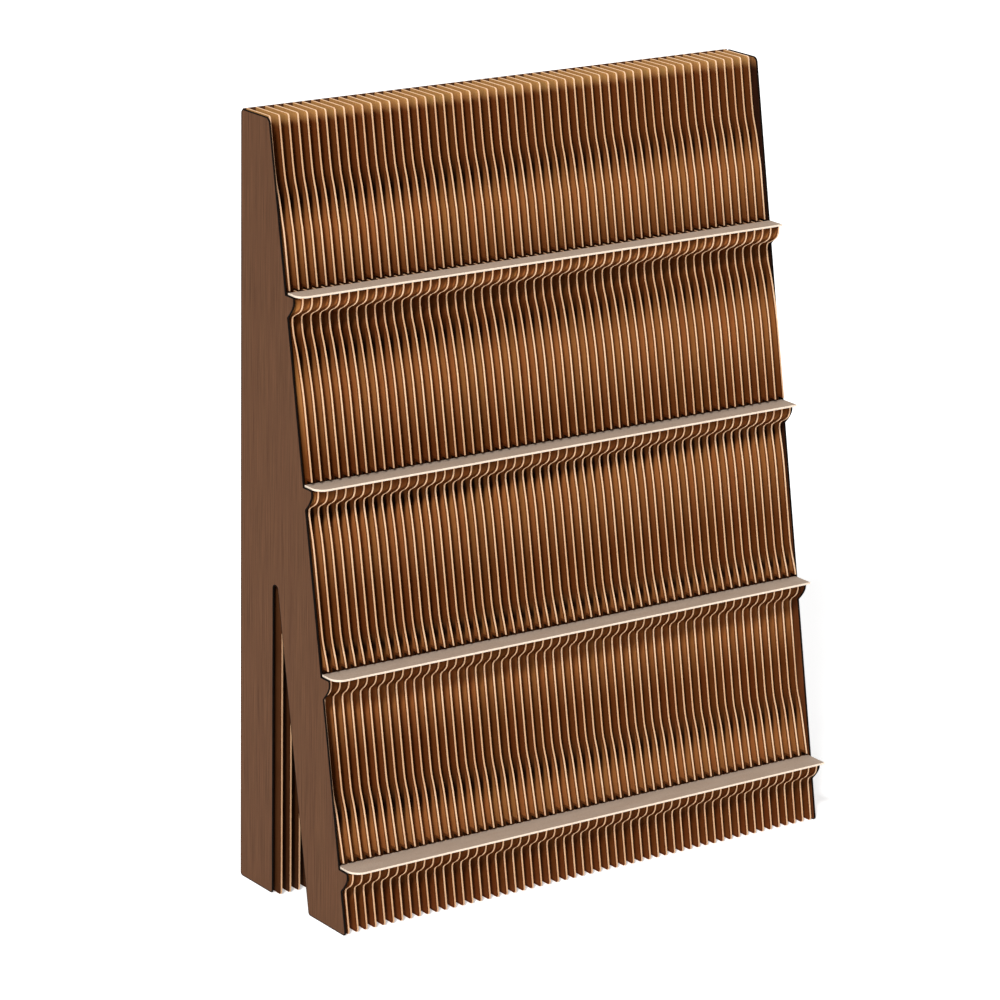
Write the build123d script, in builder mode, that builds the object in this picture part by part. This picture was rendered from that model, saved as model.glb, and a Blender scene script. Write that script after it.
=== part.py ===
"""Free-standing display rack: upright ribs on a back board, four narrow shelves, two end panels.

Millimetres, +Z up. X runs along the shelves, the front faces -Y, and the origin is at floor
level under the middle of the rack's box.
"""
import os
from math import hypot

from build123d import *

# Overall form
height = 1350.0
width = 1010.0
top_depth = 86.0
foot_depth = 332.0
board = 3.0

# Legs: an upright rear leg and a sloping front leg with a long narrow gap between them
front_leg_depth = 114.0
panel_rear_leg_depth = 103.0
rib_rear_leg_depth = 117.5
gap_top_width = 13.7
top_corner_radius = 8.0

# Ribs, evenly spaced between the end panels
rib_count = 56
end_rib_inset = 10.0

# Shelves, from the lowest up: lip ahead of the end panels' front line, back edge behind that line
low_shelf_level = 117.5
bay_parts = (322.0, 314.0, 314.5, 282.0)
shelf_thickness = 3.5
shelf_corner_radius = 34.0
shelf_lips = (42.0, 41.0, 41.0, 39.0)
shelf_set_backs = (6.0, 1.0, 0.0, -4.4)
slot_depth = 15.0
slot_head_rooms = (4.9, 6.4, 5.9, 1.0)

# Brackets under the shelves, from the lowest shelf up: one convex arc from the tip back to the plate
rib_bracket_reaches = (30.0, 28.5, 36.0, 40.0)
rib_bracket_drop = 42.0
panel_bracket_reach = 25.0
panel_bracket_drop = 38.0
bracket_bulge = 0.057

# Rib fronts: (share of the bay's height, set-back from the end panels' front line), going up
plinth_set_back = 2.3
low_wave = ((0.0, -1.0), (0.379, 13.0))
lower_middle_wave = ((0.0, -8.5), (0.185, 0.5), (0.605, 0.6))
lower_middle_foot_set_back = 6.0
upper_middle_wave = ((0.0, -12.8), (0.459, -12.2), (0.771, 2.0))
top_wave = ((0.0, 1.6), (0.333, 1.6), (0.681, 12.8))

# Worked out from the above
bay_waves = [low_wave, lower_middle_wave, upper_middle_wave, top_wave]
foot_set_backs = [plinth_set_back, low_wave[-1][1], lower_middle_foot_set_back, upper_middle_wave[-1][1]]
bay_heights = [(height - low_shelf_level) * part / sum(bay_parts) for part in bay_parts]
shelf_levels = [low_shelf_level + sum(bay_heights[:i]) for i in range(len(bay_heights))]
rib_pitch = (width - 2 * end_rib_inset) / (rib_count - 1)
front_slope = (foot_depth - top_depth) / height
overall_depth = foot_depth - front_slope * low_shelf_level + shelf_lips[0]
back_y = overall_depth / 2
rib_back_y = back_y - board
half_width = width / 2
first_rib_x = -rib_pitch * (rib_count - 1) / 2 - board / 2


def front_y(z, set_back=0.0):
    """Y of the end panels' sloping front line at height z, moved back by set_back."""
    return back_y - foot_depth + front_slope * z + set_back


def gap_y(z):
    """Y of the front leg's back edge, which runs parallel to the front line."""
    return front_y(z, front_leg_depth)


def bracket(level, set_back, reach, drop):
    """Draw the bracket under the shelf at level; return its tip and its lower end."""
    tip_z = level - shelf_thickness
    end_z = tip_z - drop
    tip = (front_y(tip_z, set_back - reach), tip_z)
    end = (front_y(end_z, set_back), end_z)
    SagittaArc(tip, end, -bracket_bulge * hypot(end[0] - tip[0], drop))
    return tip, end


def legs(front_foot, rear_leg_depth, rear_y):
    """Corners of the feet and the leg gap, from the front foot round to the top back corner."""
    rear_leg_y = back_y - rear_leg_depth
    gap_top = (foot_depth - front_leg_depth - rear_leg_depth - gap_top_width) / front_slope
    return [
        front_foot,
        (gap_y(0), 0),
        (gap_y(gap_top), gap_top),
        (rear_leg_y, gap_top),
        (rear_leg_y, 0),
        (rear_y, 0),
        (rear_y, height),
    ]


def rib_outline():
    """Draw a rib: wavy front with a slot and a bracket at each shelf, straight back, two legs."""
    run = [(rib_back_y, height), (front_y(height, top_wave[-1][1]), height)]
    bays = zip(shelf_levels, bay_heights, bay_waves, slot_head_rooms, foot_set_backs, rib_bracket_reaches)
    for level, bay_height, wave, head_room, below, reach in reversed(list(bays)):
        roof = level + head_room
        slot_y = front_y(level, wave[0][1] + slot_depth)
        knots = [(max(roof, level + share * bay_height), set_back) for share, set_back in wave]
        run += [(front_y(z, set_back), z) for z, set_back in reversed(knots)]
        tip, end = bracket(level, below, reach, rib_bracket_drop)
        run += [(slot_y, roof), (slot_y, tip[1]), tip]
        Polyline(*run)
        run = [end]
    foot = (front_y(0, plinth_set_back), 0)
    Polyline(*run, *legs(foot, rib_rear_leg_depth, rib_back_y))


def panel_outline():
    """Draw an end panel: straight sloping front with a bracket at each shelf level."""
    run = [(back_y, height), (front_y(height), height)]
    for level in reversed(shelf_levels):
        tip, end = bracket(level, 0.0, panel_bracket_reach, panel_bracket_drop)
        Polyline(*run, (front_y(tip[1]), tip[1]), tip)
        run = [end]
    foot = (front_y(0), 0)
    Polyline(*run, *legs(foot, panel_rear_leg_depth, back_y))


os.makedirs("parts", exist_ok=True)

# Ribs: one node each, apart from three pairs next to the end panels
single_ribs = [[i] for i in range(2, rib_count - 4)]
right_pairs = [[rib_count - 4, rib_count - 3], [rib_count - 2, rib_count - 1]]
rib_groups = [[0, 1]] + single_ribs + right_pairs
for number, group in enumerate(rib_groups, start=1):
    with BuildPart() as rib:
        for index in group:
            with BuildSketch(Plane.YZ.offset(first_rib_x + index * rib_pitch)):
                with BuildLine():
                    rib_outline()
                make_face()
            extrude(amount=board)
    name = f"rib_{number:02d}" if len(group) == 1 else f"rib_pair_{number:02d}"
    rib.part.label = name
    export_step(rib.part, f"parts/{name}.step")

# End panels
for name, start_x in (("left_end_panel", -half_width), ("right_end_panel", half_width - board)):
    with BuildPart() as panel:
        with BuildSketch(Plane.YZ.offset(start_x)):
            with BuildLine():
                panel_outline()
            make_face()
        extrude(amount=board)
        top_corners = panel.edges().filter_by(Axis.X).group_by(Axis.Z)[-1]
        fillet(top_corners, top_corner_radius)
    panel.part.label = name
    export_step(panel.part, f"parts/{name}.step")

# Back board: closes the back between the end panels and carries the ribs
with BuildPart() as back_board:
    with BuildSketch(Plane.XZ.offset(-back_y)):
        with Locations((0, height / 2)):
            Rectangle(width - 2 * board, height)
    extrude(amount=board)
back_board.part.label = "back_board"
export_step(back_board.part, "parts/back_board.step")

# Shelves: plates that lie on the brackets and reach into the ribs' slots, left front corner rounded
shelf_names = ("low_shelf", "lower_middle_shelf", "upper_middle_shelf", "top_shelf")
for name, level, lip, set_back in zip(shelf_names, shelf_levels, shelf_lips, shelf_set_backs):
    lip_y = front_y(level, -lip)
    rear_y = front_y(level, set_back)
    with BuildPart() as shelf:
        with BuildSketch(Plane.XY.offset(level - shelf_thickness)):
            with Locations((0, (lip_y + rear_y) / 2)):
                Rectangle(width - 2 * board, rear_y - lip_y)
        extrude(amount=shelf_thickness)
        left_front_corner = shelf.edges().filter_by(Axis.Z).group_by(Axis.Y)[0].sort_by(Axis.X)[0]
        fillet(left_front_corner, shelf_corner_radius)
    shelf.part.label = name
    export_step(shelf.part, f"parts/{name}.step")
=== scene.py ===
"""Looks of a free-standing ribbed display rack: brown ribs with pale cut edges, four shelves, end panels.

Metres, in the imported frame: X along the shelves, the front faces -Y, the floor is Z = 0.
"""

import math

import bmesh
import bpy
from mathutils import Matrix, Vector


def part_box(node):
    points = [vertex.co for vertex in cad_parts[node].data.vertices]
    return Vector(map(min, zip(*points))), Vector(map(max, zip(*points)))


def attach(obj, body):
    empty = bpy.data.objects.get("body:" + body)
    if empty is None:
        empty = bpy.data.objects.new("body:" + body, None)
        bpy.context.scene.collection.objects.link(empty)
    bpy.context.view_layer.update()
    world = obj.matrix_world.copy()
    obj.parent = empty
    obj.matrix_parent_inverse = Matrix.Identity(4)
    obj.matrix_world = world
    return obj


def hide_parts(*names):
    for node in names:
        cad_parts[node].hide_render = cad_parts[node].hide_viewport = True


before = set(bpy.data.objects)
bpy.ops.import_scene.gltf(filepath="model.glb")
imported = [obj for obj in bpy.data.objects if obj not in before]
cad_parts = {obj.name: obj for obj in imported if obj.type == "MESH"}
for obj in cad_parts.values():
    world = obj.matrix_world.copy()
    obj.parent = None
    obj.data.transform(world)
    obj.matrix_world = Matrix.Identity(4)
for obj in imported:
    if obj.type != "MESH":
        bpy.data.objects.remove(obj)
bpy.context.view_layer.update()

MM = 0.001

SHELF_NODES = ("low_shelf", "lower_middle_shelf", "upper_middle_shelf", "top_shelf")
PANEL_NODES = ("left_end_panel", "right_end_panel")
BACK_NODE = "back_board"
RIB_NODES = sorted(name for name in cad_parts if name.startswith("rib_"))
RIB_PITCH = 18.0

# Outline of the plates, in millimetres
TOP_DEPTH = 86.0
FOOT_DEPTH = 332.0
PANEL_REAR_LEG_DEPTH = 103.0
RIB_REAR_LEG_DEPTH = 117.5
FRONT_LEG_DEPTH = 114.0
GAP_TOP_WIDTH = 13.7
GAP_ROUND = 6.5
FOOT_ROUND = 6.0
TOP_BACK_ROUND = 8.0
TOP_FRONT_ROUND = 11.0
RIB_TOP_ROUND = 5.0
SLOT_DEPTH = 15.0
SHELF_ROUND = 34.0

# Rib fronts: (height above the shelf, set-back from the end panels' front line), going up
PLINTH_SET_BACK = 2.3
LOW_WAVE = (
    (4.9, -0.9), (62.0, 4.3), (83.0, 6.4), (97.0, 8.8), (112.0, 12.0), (124.0, 13.2), (140.0, 13.5),
)
LOWER_MIDDLE_WAVE = (
    (6.4, -8.8), (20.5, -6.8), (36.0, -3.6), (52.0, -0.9), (64.0, 0.1), (85.0, 0.3), (190.0, 0.7),
    (221.0, 1.8), (241.0, 3.7), (255.0, 5.0),
)
UPPER_MIDDLE_WAVE = (
    (5.9, -12.9), (95.0, -12.5), (135.0, -12.0), (160.0, -10.7), (186.0, -8.2), (206.0, -5.8),
    (226.0, -2.4), (237.0, 0.2), (246.0, 1.7), (258.0, 2.1),
)
TOP_WAVE = (
    (1.0, 1.6), (80.0, 1.7), (95.0, 2.0), (112.0, 3.7), (132.0, 5.3), (152.0, 7.5), (162.0, 9.2),
    (172.0, 11.1), (182.0, 12.2), (202.0, 13.0),
)
TOP_SET_BACK = 12.6
BAY_WAVES = (LOW_WAVE, LOWER_MIDDLE_WAVE, UPPER_MIDDLE_WAVE, TOP_WAVE)
FOOT_SET_BACKS = (PLINTH_SET_BACK, 13.5, 5.6, 2.1)

# Brackets under the shelves: (share of the drop, share of the reach that is gone there)
RIB_BRACKET = ((0.0, 0.0), (0.20, 0.05), (0.42, 0.19), (0.59, 0.47), (0.72, 0.79), (0.83, 0.95), (1.0, 1.0))
RIB_BRACKET_REACHES = (30.0, 28.5, 36.0, 40.0)
RIB_BRACKET_DROPS = (46.0, 51.0, 48.0, 47.0)
PANEL_BRACKET = ((0.0, 0.0), (0.26, 0.06), (0.50, 0.26), (0.75, 0.59), (1.0, 1.0))
PANEL_BRACKET_REACH = 25.0
PANEL_BRACKET_DROP = 38.0
BRACKET_TIP_ROUND = 4.5
BRACKET_FOOT_ROUND = 5.0

# Plate edges, and the steps along their curves
EDGE_BEVEL = 0.35
PANEL_RIM = 1.4
RIB_RIM = 4.0
CURVE_STEP = 5.0
BRACKET_STEP = 2.0
ARC_STEP = math.radians(6.0)
SHARP_ANGLE = math.radians(30.0)
STRAIGHT_ANGLE = math.radians(0.5)
ARC_SHARE_OF_SIDE = 0.49
MITRE_LIMIT = 0.35

# Material slots of a plate: faces, cut edges, rim round the faces, and one more where it needs it
FACE_SLOT, CUT_SLOT, RIM_SLOT, EXTRA_SLOT = range(4)

# Painted light on the rib faces: (height, fade below it, fade above it, strength) of the paler stretches
PAINTED_LIGHT_STRETCHES = (
    (1163.0, 115.0, 75.0, 1.0),
    (1043.0, 25.0, 25.0, 1.1),
    (1010.0, 24.0, 16.0, 0.3),
    (905.0, 130.0, 85.0, 0.95),
    (728.0, 20.0, 22.0, 0.9),
    (680.0, 145.0, 60.0, 1.0),
    (468.0, 45.0, 22.0, 0.75),
    (412.0, 22.0, 18.0, 0.5),
    (388.0, 110.0, 12.0, 1.15),
    (160.0, 100.0, 75.0, 1.0),
    (74.0, 26.0, 22.0, 0.45),
)
# Painted shadow in corners of the rib faces: (height, fade each way, set-back from which it is dark)
PAINTED_SHADOW_CORNERS = (
    (1207.0, 48.0, 18.6),
    (957.0, 48.0, 7.1),
    (692.0, 40.0, 18.1),
    (465.0, 32.0, 5.1),
    (192.0, 48.0, 17.6),
)
PAINTED_SHADOW_BLUR = 2.5
PAINTED_SHADOW_STRENGTH = 0.96
# Depth behind the front line past which the ribs get painted shade, and the stretch of painted light at
# their top
SHADE_DEPTH = 60.0
SHADE_DEPTH_BLUR = 15.0
TOP_LIGHT_STRETCH = 24.0

# Colours, in linear light
WHITE = (1.0, 1.0, 1.0)
# Rib and rim colours: a brown base, painted light in the pale stretches and at the top, painted shadow in
# the dark corners, painted shade deep inside
RIB_BROWN = (0.200, 0.055, 0.011)
RIB_PAINTED_LIGHT = (0.525, 0.202, 0.057)
RIB_PAINTED_SHADOW = (0.010, 0.002, 0.0005)
RIB_DEEP_SHADE = (0.080, 0.026, 0.008)
RIB_TOP_LIGHT = (0.680, 0.370, 0.125)
RIB_TINTS = ((1.0, 0.92, 0.90), WHITE, (0.95, 1.02, 1.0))
RIB_FIBRE_SHADE = (0.66, 0.60, 0.56)
RIB_BLOTCH_SHADE = (0.84, 0.78, 0.76)
RIM_BROWN = (0.125, 0.029, 0.005)
RIM_PAINTED_LIGHT = (0.210, 0.070, 0.018)
RIM_DEEP_SHADE = (0.060, 0.018, 0.005)
RIM_TOP_LIGHT = (0.640, 0.335, 0.112)
RIM_FIBRE_SHADE = (0.70, 0.62, 0.56)
# Painted shade inside the shelf slots
SLOT_SHADE_BLACKS = ((0.010, 0.004, 0.001), (0.040, 0.014, 0.004))
CUT_CREAMS = ((0.89, 0.57, 0.36), (0.92, 0.61, 0.38), (0.93, 0.64, 0.42))
CUT_PAINTED_SHADE = (0.76, 0.70, 0.63)
CUT_FIBRE_SHADE = (0.82, 0.74, 0.66)
PANEL_BROWNS = ((0.056, 0.022, 0.008), (0.111, 0.047, 0.020), (0.158, 0.068, 0.032))
PANEL_BAND_SHADES = ((0.90, 0.86, 0.84), (1.0, 1.0, 0.98))
PANEL_CUT_BLACKS = ((0.003, 0.002, 0.0015), (0.010, 0.006, 0.004))
INNER_BROWN = (0.170, 0.050, 0.014)
INNER_SHADE = (0.040, 0.012, 0.005)
INNER_TOP_LIGHT = (0.380, 0.170, 0.060)
INNER_STREAK_SHADE = (0.45, 0.42, 0.40)
SHELF_BEIGES = ((0.360, 0.270, 0.205), (0.460, 0.365, 0.290))
SHELF_CLOUD_SHADE = (0.92, 0.90, 0.88)
SHELF_CUT_CREAMS = ((0.76, 0.61, 0.48), (0.89, 0.76, 0.62))
FLOOR_WHITES = ((0.93, 0.93, 0.93), (0.95, 0.95, 0.95))

# Grain: noise cells to the metre along X, Y and Z
RIB_FIBRES = (300.0, 700.0, 26.0)
RIB_BLOTCHES = (55.0, 24.0, 14.0)
RIM_FIBRES = (300.0, 420.0, 60.0)
CUT_FIBRES = (900.0, 260.0, 110.0)
PANEL_STREAKS = (200.0, 620.0, 7.0)
PANEL_BANDS = (20.0, 75.0, 1.4)
PANEL_CUT_FIBRES = (900.0, 300.0, 120.0)
SHELF_GRAIN = (420.0, 520.0, 520.0)
SHELF_CLOUDS = (16.0, 60.0, 60.0)
SHELF_CUT_FIBRES = (120.0, 500.0, 900.0)
FLOOR_CLOUDS = (1.5, 1.5, 1.5)

# Spans of a factor over which a colour ramp runs
FULL_SPAN = (0.0, 1.0)
BROAD_SPAN = (0.3, 0.7)
SHARP_SPAN = (0.35, 0.65)
CUT_SPAN = (0.3, 0.62)
SHELF_CUT_SPAN = (0.3, 0.6)

# Seeds of the rib-to-rib tints
FACE_SEED = 200.0
CUT_SEED = 500.0

# Floor and light; each sun is (name, degrees left of the front, degrees up, spread in degrees, strength)
FLOOR_HALF = 20.0
FLOOR_GLOW = 0.45
WORLD_COLOUR = (1.0, 0.99, 0.98, 1.0)
WORLD_STRENGTH = 0.25
SUNS = (("key", 51.0, 42.0, 10.0, 2.5), ("top", 0.0, 90.0, 60.0, 1.0))

# View at the photograph's angle: radians, and lengths in rack heights from the left back foot corner
VIEW_AZIMUTH = 0.61605
VIEW_PITCH = 0.29601
VIEW_ROLL = 0.01843
VIEW_FOCAL_SHARE = 4.43851
VIEW_DISTANCE = 5.63239
VIEW_SHIFT = (-0.02084, 0.01936)
VIEW_AIM = (0.3, -0.1, 0.5)
SENSOR = 36.0
CLIP_END = 100.0

# Places taken from the frame, in millimetres
panel_low, panel_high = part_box(PANEL_NODES[0])
HEIGHT = panel_high[2] / MM
BACK_Y = panel_high[1] / MM
BOARD = (panel_high[0] - panel_low[0]) / MM
SHELF_BOXES = [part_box(name) for name in SHELF_NODES]
SHELF_LEVELS = [high[2] / MM for low, high in SHELF_BOXES]
SHELF_THICKNESS = (SHELF_BOXES[0][1][2] - SHELF_BOXES[0][0][2]) / MM
FRONT_SLOPE = (FOOT_DEPTH - TOP_DEPTH) / HEIGHT


def front_y(z, set_back=0.0):
    """Y of the end panels' sloping front line at height z, moved back by set_back."""
    return BACK_Y - FOOT_DEPTH + FRONT_SLOPE * z + set_back


def smooth_values(knots, step):
    """Pairs along a smooth curve that runs through the knots without overshooting them."""
    widths = [b[0] - a[0] for a, b in zip(knots, knots[1:])]
    rises = [(b[1] - a[1]) / width for a, b, width in zip(knots, knots[1:], widths)]
    slopes = [rises[0]]
    for left, right in zip(rises, rises[1:]):
        slopes.append(2 * left * right / (left + right) if left * right > 0 else 0.0)
    slopes.append(rises[-1])
    pairs = []
    for i, width in enumerate(widths):
        steps = max(1, math.ceil(width / step))
        for k in range(steps):
            t = k / steps
            value = knots[i][1] * (2 * t**3 - 3 * t**2 + 1) + knots[i + 1][1] * (3 * t**2 - 2 * t**3)
            value += width * (slopes[i] * (t**3 - 2 * t**2 + t) + slopes[i + 1] * (t**3 - t**2))
            pairs.append((knots[i][0] + t * width, value))
    return pairs + [knots[-1]]


# Outlines: lists of (y, z, corner radius), in order round the plate
def bracket_points(level, set_back, profile, reach, drop):
    """Points of the bracket's curve under a shelf, from the tip down to its foot."""
    under = level - SHELF_THICKNESS
    points = []
    for down, gone in smooth_values(profile, BRACKET_STEP / drop):
        z = under - down * drop
        points.append((front_y(z, set_back - reach * (1.0 - gone)), z, 0.0))
    return points


def leg_points(front_foot, rear_leg_depth, rear_y):
    """Corners of the feet and the leg gap, from the front foot round to the rear foot."""
    rear_leg_y = BACK_Y - rear_leg_depth
    gap_top = (FOOT_DEPTH - FRONT_LEG_DEPTH - rear_leg_depth - GAP_TOP_WIDTH) / FRONT_SLOPE
    return [
        (front_foot, 0.0, FOOT_ROUND),
        (front_y(0, FRONT_LEG_DEPTH), 0.0, FOOT_ROUND),
        (front_y(gap_top, FRONT_LEG_DEPTH), gap_top, GAP_ROUND),
        (rear_leg_y, gap_top, GAP_ROUND),
        (rear_leg_y, 0.0, FOOT_ROUND),
        (rear_y, 0.0, FOOT_ROUND),
    ]


def rib_outline():
    """Rib: wavy front with a slot and a bracket at each shelf, straight back, two legs."""
    rib_back = BACK_Y - BOARD
    points = [(rib_back, HEIGHT, 0.0), (front_y(HEIGHT, TOP_SET_BACK), HEIGHT, RIB_TOP_ROUND)]
    bays = zip(SHELF_LEVELS, BAY_WAVES, FOOT_SET_BACKS, RIB_BRACKET_REACHES, RIB_BRACKET_DROPS)
    for level, wave, below, reach, drop in reversed(list(bays)):
        slot_y = front_y(level, wave[0][1] + SLOT_DEPTH)
        for rise, set_back in reversed(smooth_values(wave, CURVE_STEP)):
            points.append((front_y(level + rise, set_back), level + rise, 0.0))
        points += [(slot_y, level + wave[0][0], 0.0), (slot_y, level - SHELF_THICKNESS, 0.0)]
        points += bracket_points(level, below, RIB_BRACKET, reach, drop)
    return points + leg_points(front_y(0, PLINTH_SET_BACK), RIB_REAR_LEG_DEPTH, rib_back)


def panel_outline():
    """End panel: straight sloping front with a round-tipped bracket at each shelf."""
    points = [(BACK_Y, HEIGHT, TOP_BACK_ROUND), (front_y(HEIGHT), HEIGHT, TOP_FRONT_ROUND)]
    for level in reversed(SHELF_LEVELS):
        under = level - SHELF_THICKNESS
        curve = bracket_points(level, 0.0, PANEL_BRACKET, PANEL_BRACKET_REACH, PANEL_BRACKET_DROP)
        points.append((front_y(under), under, 0.0))
        points.append((*curve[0][:2], BRACKET_TIP_ROUND))
        points += [p for p in curve[1:-1] if under - p[1] > 2 * BRACKET_TIP_ROUND]
        points.append((*curve[-1][:2], BRACKET_FOOT_ROUND))
    return points + leg_points(front_y(0), PANEL_REAR_LEG_DEPTH, BACK_Y)


def rounded(points):
    """Replace each corner that has a radius by an arc; return plain (a, b) points."""
    result = []
    for i, (a, b, radius) in enumerate(points):
        here = Vector((a, b))
        before = Vector(points[i - 1][:2]) - here
        after = Vector(points[(i + 1) % len(points)][:2]) - here
        turn = math.pi - before.angle(after)
        if radius <= 0.0 or turn < STRAIGHT_ANGLE:
            result.append(here)
            continue
        longest = ARC_SHARE_OF_SIDE * min(before.length, after.length)
        reach = min(radius * math.tan(turn / 2), longest)
        radius = reach / math.tan(turn / 2)
        start = here + before.normalized() * reach
        end = here + after.normalized() * reach
        inwards = (before.normalized() + after.normalized()).normalized()
        centre = here + inwards * (radius / math.cos(turn / 2))
        steps = max(2, math.ceil(turn / ARC_STEP))
        first = start - centre
        swing = first.angle_signed(end - centre)
        for k in range(steps + 1):
            result.append(centre + Matrix.Rotation(-swing * k / steps, 2) @ first)
    return result


def inset(points, distance):
    """Move a closed outline inwards by distance, with mitred corners."""
    area = sum(p.x * q.y - q.x * p.y for p, q in zip(points, points[1:] + points[:1]))
    side = 1.0 if area > 0 else -1.0
    result = []
    for i, here in enumerate(points):
        into = (here - points[i - 1]).normalized()
        out = (points[(i + 1) % len(points)] - here).normalized()
        normal_in = Vector((-into.y, into.x)) * side
        normal_out = Vector((-out.y, out.x)) * side
        middle = (normal_in + normal_out).normalized()
        stretch = max(MITRE_LIMIT, middle.dot(normal_in))
        result.append(here + middle * (distance / stretch))
    return result


# Meshes
def plate_mesh(mesh, outline, place, low, high, rim=0.0):
    """Add a plate with bevelled edges, and a rim round its faces where rim gives its width."""
    inner = inset(outline, EDGE_BEVEL)
    layers = [(inner, low), (outline, low + EDGE_BEVEL), (outline, high - EDGE_BEVEL), (inner, high)]
    slots = [CUT_SLOT, CUT_SLOT, CUT_SLOT]
    if rim > 0.0:
        centre = inset(outline, EDGE_BEVEL + rim)
        layers = [(centre, low), *layers, (centre, high)]
        slots = [RIM_SLOT, *slots, RIM_SLOT]
    rings = [[mesh.verts.new(place(p.x, p.y, t)) for p in points] for points, t in layers]
    count = len(outline)
    for lower, upper, slot in zip(rings, rings[1:], slots):
        for i in range(count):
            j = (i + 1) % count
            mesh.faces.new((lower[i], lower[j], upper[j], upper[i])).material_index = slot
    mesh.faces.new(list(reversed(rings[0]))).material_index = FACE_SLOT
    mesh.faces.new(rings[-1]).material_index = FACE_SLOT


def finish_piece(mesh, name, materials):
    """Turn a bmesh into the piece that stands for the CAD node called name."""
    bmesh.ops.recalc_face_normals(mesh, faces=mesh.faces[:])
    data = bpy.data.meshes.new(name + ".board")
    mesh.to_mesh(data)
    mesh.free()
    for material in materials:
        data.materials.append(material)
    data.shade_smooth()
    data.set_sharp_from_angle(angle=SHARP_ANGLE)
    piece = bpy.data.objects.new(name + ".board", data)
    bpy.context.scene.collection.objects.link(piece)
    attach(piece, "root")
    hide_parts(name)


def upright(a, b, t):
    """Place of an outline point on a plate that faces along X."""
    return Vector((t, a, b)) * MM


def facing(a, b, t):
    """Place of an outline point on a plate that faces along Y."""
    return Vector((a, t, b)) * MM


def level_plate(a, b, t):
    """Place of an outline point on a level plate."""
    return Vector((a, b, t)) * MM


# Material helpers
def new_tree(name, roughness, specular):
    """A node material; return it with its tree and shader."""
    material = bpy.data.materials.new(name)
    material.use_nodes = True
    tree = material.node_tree
    shader = tree.nodes["Principled BSDF"]
    shader.inputs["Roughness"].default_value = roughness
    shader.inputs["Specular IOR Level"].default_value = specular
    return material, tree, shader


def finish_material(tree, shader, colour, grain, strength, depth):
    """Give the shader its colour, and a bump from the grain: strength up to 1, depth in metres."""
    tree.links.new(colour, shader.inputs["Base Color"])
    made = node(tree, "ShaderNodeBump", {"Height": grain}, Strength=strength, Distance=depth)
    tree.links.new(made.outputs["Normal"], shader.inputs["Normal"])


def node(tree, kind, links=None, **settings):
    """Add a node, set its properties and input values, and link its inputs."""
    made = tree.nodes.new(kind)
    for key, value in settings.items():
        if hasattr(made, key):
            setattr(made, key, value)
        else:
            made.inputs[key.replace("_", " ")].default_value = value
    for key, socket in (links or {}).items():
        tree.links.new(socket, made.inputs[key])
    return made


def feed(tree, socket, value):
    """Set an input to a number or a colour, or link it to another socket."""
    if isinstance(value, float):
        socket.default_value = value
    elif isinstance(value, tuple):
        socket.default_value = (*value, 1.0)
    else:
        tree.links.new(value, socket)


def object_point(tree, scale):
    """Position on the piece, stretched by scale, in cells to the metre."""
    place = node(tree, "ShaderNodeTexCoord")
    stretch = node(tree, "ShaderNodeMapping", {"Vector": place.outputs["Object"]}, Scale=scale)
    return stretch.outputs["Vector"]


def noise(tree, scale, detail=3.0, rough=0.5):
    """Noise stretched by scale, as a factor."""
    links = {"Vector": object_point(tree, scale)}
    made = node(tree, "ShaderNodeTexNoise", links, Scale=1.0, Detail=detail, Roughness=rough)
    return made.outputs["Fac"]


def ramp(tree, factor, span, *colours):
    """Colour ramp with its colours evenly spaced over a span of the factor."""
    made = node(tree, "ShaderNodeValToRGB", {"Fac": factor})
    elements = made.color_ramp.elements
    while len(elements) < len(colours):
        elements.new(0.5)
    start, end = span
    for i, (element, colour) in enumerate(zip(elements, colours)):
        element.position = start + (end - start) * i / (len(colours) - 1)
        element.color = (*colour, 1.0)
    return made.outputs["Color"]


def mix(tree, kind, factor, first, second):
    """Blend two colours; a factor past 1 goes beyond the second."""
    made = node(tree, "ShaderNodeMix", data_type="RGBA", blend_type=kind, clamp_factor=False)
    factor_socket, first_socket, second_socket = made.inputs[0], made.inputs[6], made.inputs[7]
    feed(tree, factor_socket, factor)
    feed(tree, first_socket, first)
    feed(tree, second_socket, second)
    return made.outputs[2]


def shaded(tree, colour, shade, strength):
    """Multiply a colour by a shade, as far as strength says."""
    return mix(tree, "MULTIPLY", strength, colour, shade)


def combine(tree, operation, *values):
    """Join values by an operation; each is a number or a socket."""
    made = node(tree, "ShaderNodeMath", operation=operation)
    for socket, value in zip(made.inputs, values):
        feed(tree, socket, value)
    return made.outputs[0]


def largest(tree, factors):
    """The largest of several factors."""
    result = factors[0]
    for factor in factors[1:]:
        result = combine(tree, "MAXIMUM", result, factor)
    return result


def fade(tree, value, start, end):
    """A factor that goes smoothly from 0 at start to 1 at end."""
    made = node(tree, "ShaderNodeMapRange", {"Value": value}, interpolation_type="SMOOTHSTEP",
                From_Min=start, From_Max=end)
    return made.outputs["Result"]


def band(tree, height, peak, below, above):
    """A factor that is 1 at a height and fades out below and above it."""
    rise = fade(tree, height, peak - below, peak)
    return combine(tree, "MULTIPLY", rise, fade(tree, height, peak + above, peak))


def along(tree, axis):
    """Socket for the place along an axis of the rack, in millimetres."""
    place = node(tree, "ShaderNodeTexCoord")
    split = node(tree, "ShaderNodeSeparateXYZ", {"Vector": place.outputs["Object"]})
    return combine(tree, "DIVIDE", split.outputs[axis], MM)


def place_on_rack(tree):
    """Sockets for the set-back from the end panels' front line and the height, in millimetres."""
    height = along(tree, "Z")
    front = combine(tree, "MULTIPLY_ADD", height, FRONT_SLOPE, front_y(0))
    return combine(tree, "SUBTRACT", along(tree, "Y"), front), height


def per_rib(tree, seed):
    """A random number that is the same all over one rib."""
    count = combine(tree, "ADD", combine(tree, "DIVIDE", along(tree, "X"), RIB_PITCH), seed)
    links = {"W": combine(tree, "FLOOR", count)}
    made = node(tree, "ShaderNodeTexWhiteNoise", links, noise_dimensions="1D")
    return made.outputs["Value"]


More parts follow.
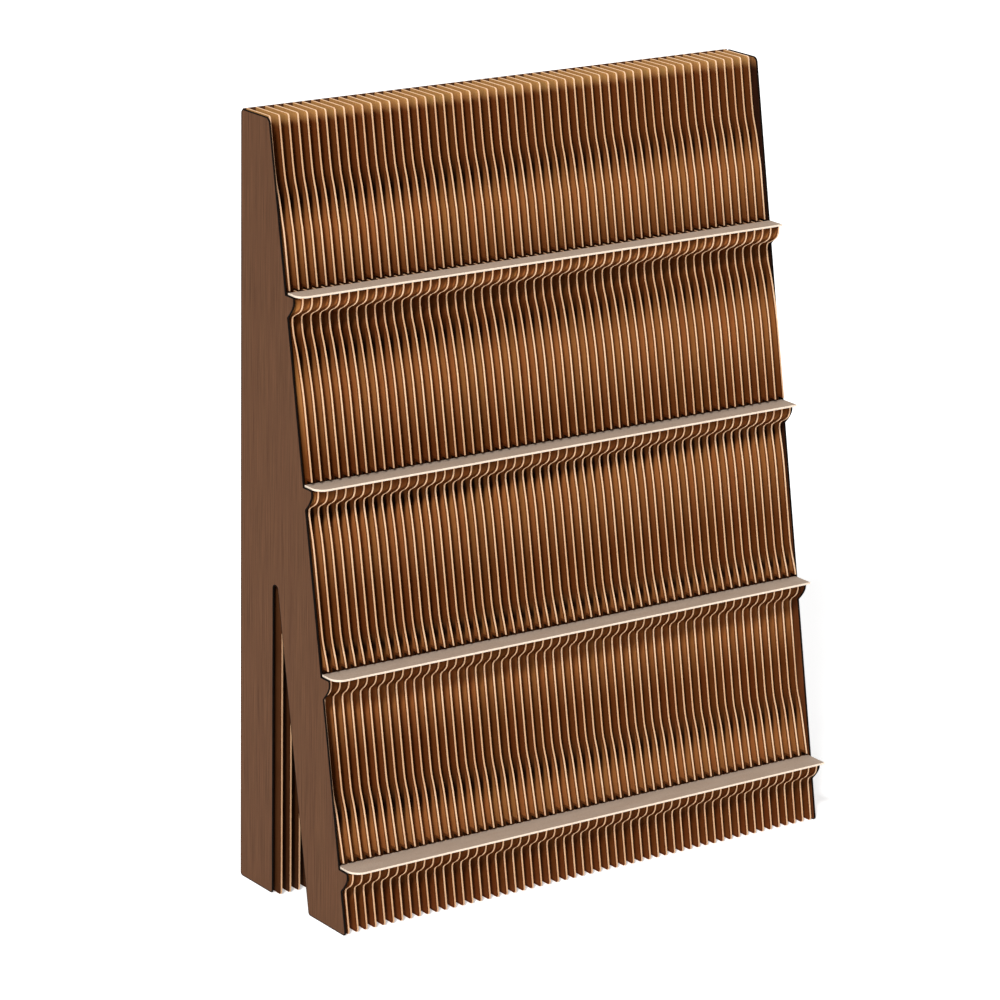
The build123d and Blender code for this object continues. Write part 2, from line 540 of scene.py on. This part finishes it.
# Tones of the ribs
def deep_shade_factor(tree, set_back, height):
    """Painted shade: 1 deep between the ribs, 0 near their front and at the open top."""
    inside = fade(tree, set_back, SHADE_DEPTH - SHADE_DEPTH_BLUR, SHADE_DEPTH + SHADE_DEPTH_BLUR)
    return combine(tree, "MULTIPLY", inside, fade(tree, height, HEIGHT, SHELF_LEVELS[-1]))


def painted_top_light_factor(tree, height):
    """Painted light: 1 at the top of the rack, 0 below the golden lit stretch."""
    return fade(tree, height, HEIGHT - TOP_LIGHT_STRETCH, HEIGHT)


def painted_light_factor(tree, set_back, height):
    """How much painted light a rib gets: about 1 in the paler stretches of its front, 0 well away from
    them.
    """
    stretches = []
    for peak, below, above, strength in PAINTED_LIGHT_STRETCHES:
        stretches.append(combine(tree, "MULTIPLY", band(tree, height, peak, below, above), strength))
    shown = combine(tree, "SUBTRACT", 1.0, deep_shade_factor(tree, set_back, height))
    return combine(tree, "MULTIPLY", largest(tree, stretches), shown)


def edge_shade_factor(tree, set_back, height):
    """How far painted shade dims a rib's cut edge: fully where the rib face gets no painted light."""
    pale = combine(tree, "MAXIMUM", painted_light_factor(tree, set_back, height), painted_top_light_factor(tree, height))
    return combine(tree, "SUBTRACT", 1.0, pale)


def painted_shadow_factor(tree, set_back, height):
    """How much painted shadow a rib face gets: nearly 1 deep in the corners behind the bends of its front.
    """
    corners = []
    for middle, reach, edge in PAINTED_SHADOW_CORNERS:
        behind = fade(tree, set_back, edge - PAINTED_SHADOW_BLUR, edge + PAINTED_SHADOW_BLUR)
        corners.append(combine(tree, "MULTIPLY", band(tree, height, middle, reach, reach), behind))
    return combine(tree, "MULTIPLY", largest(tree, corners), PAINTED_SHADOW_STRENGTH)


# Materials
def rib_face_material():
    """Brown board: painted light and painted shadow stretches, rib-to-rib tint, fine upright fibres and
    soft blotches.
    """
    material, tree, shader = new_tree("rib_face", roughness=0.7, specular=0.05)
    set_back, height = place_on_rack(tree)
    # Painted light and shade: paler lit stretches, painted shadow in the corners, painted shade deep
    # inside, painted light at the top
    toned = mix(tree, "MIX", painted_light_factor(tree, set_back, height), RIB_BROWN, RIB_PAINTED_LIGHT)
    toned = mix(tree, "MIX", painted_shadow_factor(tree, set_back, height), toned, RIB_PAINTED_SHADOW)
    toned = mix(tree, "MIX", deep_shade_factor(tree, set_back, height), toned, RIB_DEEP_SHADE)
    toned = mix(tree, "MIX", painted_top_light_factor(tree, height), toned, RIB_TOP_LIGHT)
    tint = ramp(tree, per_rib(tree, FACE_SEED), FULL_SPAN, *RIB_TINTS)
    tinted = shaded(tree, toned, tint, strength=1.0)
    fibres = noise(tree, RIB_FIBRES, detail=4.0, rough=0.65)
    shade = ramp(tree, fibres, BROAD_SPAN, RIB_FIBRE_SHADE, WHITE)
    fibred = shaded(tree, tinted, shade, strength=0.75)
    blotches = ramp(tree, noise(tree, RIB_BLOTCHES), SHARP_SPAN, RIB_BLOTCH_SHADE, WHITE)
    colour = shaded(tree, fibred, blotches, strength=0.8)
    finish_material(tree, shader, colour, fibres, strength=0.25, depth=0.0004)
    return material


def rib_rim_material():
    """Rim of the rib faces: a darker red-brown, with painted light where the face has it, painted shade
    deep inside and painted light at the top.
    """
    material, tree, shader = new_tree("rib_rim", roughness=0.8, specular=0.05)
    set_back, height = place_on_rack(tree)
    # Painted light, painted shade deep inside and painted light at the top, as on the faces
    toned = mix(tree, "MIX", painted_light_factor(tree, set_back, height), RIM_BROWN, RIM_PAINTED_LIGHT)
    toned = mix(tree, "MIX", deep_shade_factor(tree, set_back, height), toned, RIM_DEEP_SHADE)
    toned = mix(tree, "MIX", painted_top_light_factor(tree, height), toned, RIM_TOP_LIGHT)
    fibres = noise(tree, RIM_FIBRES, rough=0.6)
    shade = ramp(tree, fibres, BROAD_SPAN, RIM_FIBRE_SHADE, WHITE)
    colour = shaded(tree, toned, shade, strength=0.8)
    finish_material(tree, shader, colour, fibres, strength=0.2, depth=0.0003)
    return material


def slot_edge_material():
    """Cut edge inside a rib's shelf slot: nearly black as painted shade, with faint fibres."""
    material, tree, shader = new_tree("slot_edge", roughness=0.85, specular=0.05)
    fibres = noise(tree, CUT_FIBRES)
    colour = ramp(tree, fibres, BROAD_SPAN, *SLOT_SHADE_BLACKS)
    finish_material(tree, shader, colour, fibres, strength=0.2, depth=0.0003)
    return material


def rib_edge_material():
    """Pale cut edge: cream core with faint fibres, a slightly different tint from rib to rib, and painted
    shade where the face has no painted light.
    """
    material, tree, shader = new_tree("rib_edge", roughness=0.75, specular=0.15)
    set_back, height = place_on_rack(tree)
    cream = ramp(tree, per_rib(tree, CUT_SEED), FULL_SPAN, *CUT_CREAMS)
    # Painted shade dims the cream away from the painted light
    dimmed = shaded(tree, cream, CUT_PAINTED_SHADE, strength=edge_shade_factor(tree, set_back, height))
    fibres = noise(tree, CUT_FIBRES, rough=0.6)
    shade = ramp(tree, fibres, CUT_SPAN, CUT_FIBRE_SHADE, WHITE)
    colour = shaded(tree, dimmed, shade, strength=0.8)
    finish_material(tree, shader, colour, fibres, strength=0.3, depth=0.0003)
    return material


def panel_face_material():
    """End panel face: dull brown with fine broken upright streaks."""
    material, tree, shader = new_tree("panel_face", roughness=0.65, specular=0.1)
    streaks = noise(tree, PANEL_STREAKS, detail=5.0, rough=0.7)
    base = ramp(tree, streaks, BROAD_SPAN, *PANEL_BROWNS)
    bands = ramp(tree, noise(tree, PANEL_BANDS, detail=2.0), SHARP_SPAN, *PANEL_BAND_SHADES)
    colour = shaded(tree, base, bands, strength=0.8)
    finish_material(tree, shader, colour, streaks, strength=0.2, depth=0.0003)
    return material


def panel_edge_material():
    """End panel cut edge: scorched nearly black, with faint fibres."""
    material, tree, shader = new_tree("panel_edge", roughness=0.8, specular=0.05)
    fibres = noise(tree, PANEL_CUT_FIBRES)
    colour = ramp(tree, fibres, BROAD_SPAN, *PANEL_CUT_BLACKS)
    finish_material(tree, shader, colour, fibres, strength=0.25, depth=0.0003)
    return material


def panel_inner_material():
    """Inner face of an end panel: brown with upright streaks, painted shade darker going up, painted light
    at the top.
    """
    material, tree, shader = new_tree("panel_inner", roughness=0.75, specular=0.05)
    height = along(tree, "Z")
    # Painted shade darkening going up, and painted light at the top
    toned = mix(tree, "MIX", fade(tree, height, *SHELF_LEVELS[1:3]), INNER_BROWN, INNER_SHADE)
    toned = mix(tree, "MIX", painted_top_light_factor(tree, height), toned, INNER_TOP_LIGHT)
    streaks = noise(tree, PANEL_STREAKS, detail=4.0, rough=0.65)
    shade = ramp(tree, streaks, BROAD_SPAN, INNER_STREAK_SHADE, WHITE)
    colour = shaded(tree, toned, shade, strength=1.0)
    finish_material(tree, shader, colour, streaks, strength=0.2, depth=0.0003)
    return material


def shelf_face_material():
    """Shelf face: grey-beige board with a fine speckled grain."""
    material, tree, shader = new_tree("shelf_face", roughness=0.6, specular=0.2)
    grain = noise(tree, SHELF_GRAIN, detail=4.0, rough=0.7)
    base = ramp(tree, grain, BROAD_SPAN, *SHELF_BEIGES)
    clouds = ramp(tree, noise(tree, SHELF_CLOUDS), SHARP_SPAN, SHELF_CLOUD_SHADE, WHITE)
    colour = shaded(tree, base, clouds, strength=0.8)
    finish_material(tree, shader, colour, grain, strength=0.15, depth=0.0002)
    return material


def shelf_edge_material():
    """Shelf cut edge: bright cream, with faint fibres."""
    material, tree, shader = new_tree("shelf_edge", roughness=0.7, specular=0.15)
    fibres = noise(tree, SHELF_CUT_FIBRES, rough=0.6)
    colour = ramp(tree, fibres, SHELF_CUT_SPAN, *SHELF_CUT_CREAMS)
    finish_material(tree, shader, colour, fibres, strength=0.15, depth=0.0002)
    return material


# Pieces
def shade_slots(mesh):
    """Give the cut edges inside the ribs' shelf slots the nearly black material of painted shade."""
    for face in mesh.faces:
        centre = face.calc_center_median() / MM
        for level, wave in zip(SHELF_LEVELS, BAY_WAVES):
            rise, set_back = wave[0]
            mouth_y = front_y(level, set_back) + EDGE_BEVEL
            in_height = level - SHELF_THICKNESS - EDGE_BEVEL < centre.z < level + rise + EDGE_BEVEL
            in_depth = mouth_y < centre.y < front_y(level, set_back + 2 * SLOT_DEPTH)
            if face.material_index == CUT_SLOT and in_height and in_depth:
                face.material_index = EXTRA_SLOT


def make_ribs():
    """One piece for each rib node; the nodes at the ends hold two ribs."""
    outline = rounded(rib_outline())
    materials = (rib_face_material(), rib_edge_material(), rib_rim_material(), slot_edge_material())
    for name in RIB_NODES:
        low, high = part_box(name)
        ribs_here = 1 + round((high[0] - low[0] - BOARD * MM) / (RIB_PITCH * MM))
        mesh = bmesh.new()
        for i in range(ribs_here):
            start = low[0] / MM + i * RIB_PITCH
            plate_mesh(mesh, outline, upright, start, start + BOARD, RIB_RIM)
        shade_slots(mesh)
        finish_piece(mesh, name, materials)


def make_panels():
    """The two end panels, each with an inner face of its own, and the back board between them."""
    outline = rounded(panel_outline())
    face, edge = panel_face_material(), panel_edge_material()
    materials = (face, edge, edge, panel_inner_material())
    for name in PANEL_NODES:
        low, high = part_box(name)
        mesh = bmesh.new()
        plate_mesh(mesh, outline, upright, low[0] / MM, high[0] / MM, PANEL_RIM)
        # The inner side takes the material with painted shade and painted light
        sides = [side for side in mesh.faces if side.material_index == FACE_SLOT]
        inner_side = min(sides, key=lambda side: abs(side.calc_center_median().x))
        inner_side.material_index = EXTRA_SLOT
        finish_piece(mesh, name, materials)
    low, high = [corner / MM for corner in map(Vector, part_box(BACK_NODE))]
    corners = [Vector(p) for p in ((low.x, low.z), (high.x, low.z), (high.x, high.z), (low.x, high.z))]
    mesh = bmesh.new()
    plate_mesh(mesh, corners, facing, low.y, high.y)
    finish_piece(mesh, BACK_NODE, (face, face))


def make_shelves():
    """The four shelves, with the left front corner rounded."""
    materials = (shelf_face_material(), shelf_edge_material())
    for name in SHELF_NODES:
        low, high = [corner / MM for corner in map(Vector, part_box(name))]
        corners = [
            (low.x, low.y, SHELF_ROUND),
            (high.x, low.y, 0.0),
            (high.x, high.y, 0.0),
            (low.x, high.y, 0.0),
        ]
        mesh = bmesh.new()
        plate_mesh(mesh, rounded(corners), level_plate, low.z, high.z)
        finish_piece(mesh, name, materials)


# Floor, light and camera
def make_floor():
    """Plain pale floor that glows a little, so that shadows on it stay faint."""
    material, tree, shader = new_tree("floor", roughness=0.9, specular=0.1)
    clouds = ramp(tree, noise(tree, FLOOR_CLOUDS, detail=2.0), BROAD_SPAN, *FLOOR_WHITES)
    tree.links.new(clouds, shader.inputs["Base Color"])
    shader.inputs["Emission Color"].default_value = (*WHITE, 1.0)
    shader.inputs["Emission Strength"].default_value = FLOOR_GLOW
    half = FLOOR_HALF
    corners = [(-half, -half, 0), (half, -half, 0), (half, half, 0), (-half, half, 0)]
    data = bpy.data.meshes.new("floor")
    data.from_pydata(corners, [], [(0, 1, 2, 3)])
    data.materials.append(material)
    floor = bpy.data.objects.new("floor", data)
    bpy.context.scene.collection.objects.link(floor)


def soft_sun(name, left, up, spread, strength):
    """Far soft light: left of the front and above the horizon, in degrees."""
    data = bpy.data.lights.new(name, "SUN")
    data.angle = math.radians(spread)
    data.energy = strength
    light = bpy.data.objects.new(name, data)
    a, b = math.radians(left), math.radians(up)
    towards = Vector((-math.sin(a) * math.cos(b), -math.cos(a) * math.cos(b), math.sin(b)))
    light.rotation_euler = (-towards).to_track_quat("-Z", "Y").to_euler()
    bpy.context.scene.collection.objects.link(light)


def make_light():
    """Pale surroundings, a soft key from the front left, and a broad light from above."""
    world = bpy.data.worlds.new("studio")
    world.use_nodes = True
    background = world.node_tree.nodes["Background"]
    background.inputs["Color"].default_value = WORLD_COLOUR
    background.inputs["Strength"].default_value = WORLD_STRENGTH
    bpy.context.scene.world = world
    for sun in SUNS:
        soft_sun(*sun)


def make_camera():
    """Camera at the photograph's viewing angle."""
    sin_azimuth, cos_azimuth = math.sin(VIEW_AZIMUTH), math.cos(VIEW_AZIMUTH)
    sin_pitch, cos_pitch = math.sin(VIEW_PITCH), math.cos(VIEW_PITCH)
    level_right = Vector((cos_azimuth, -sin_azimuth, 0.0))
    ahead = Vector((sin_azimuth * cos_pitch, cos_azimuth * cos_pitch, -sin_pitch))
    level_up = level_right.cross(ahead)
    right = level_right * math.cos(VIEW_ROLL) + level_up * math.sin(VIEW_ROLL)
    up = level_up * math.cos(VIEW_ROLL) - level_right * math.sin(VIEW_ROLL)
    place = Vector(VIEW_AIM) - VIEW_SHIFT[0] * right - VIEW_SHIFT[1] * up - VIEW_DISTANCE * ahead
    corner = Vector((panel_low[0], panel_high[1], 0.0))
    data = bpy.data.cameras.new("camera")
    data.sensor_width = SENSOR
    data.lens = VIEW_FOCAL_SHARE * SENSOR
    data.clip_end = CLIP_END
    camera = bpy.data.objects.new("camera", data)
    turn = Matrix((right, up, -ahead)).transposed().to_4x4()
    camera.matrix_world = Matrix.Translation(corner + place * HEIGHT * MM) @ turn
    bpy.context.scene.collection.objects.link(camera)
    bpy.context.scene.camera = camera


make_ribs()
make_panels()
make_shelves()
make_floor()
make_light()
make_camera()
bpy.context.scene.view_settings.view_transform = "Standard"
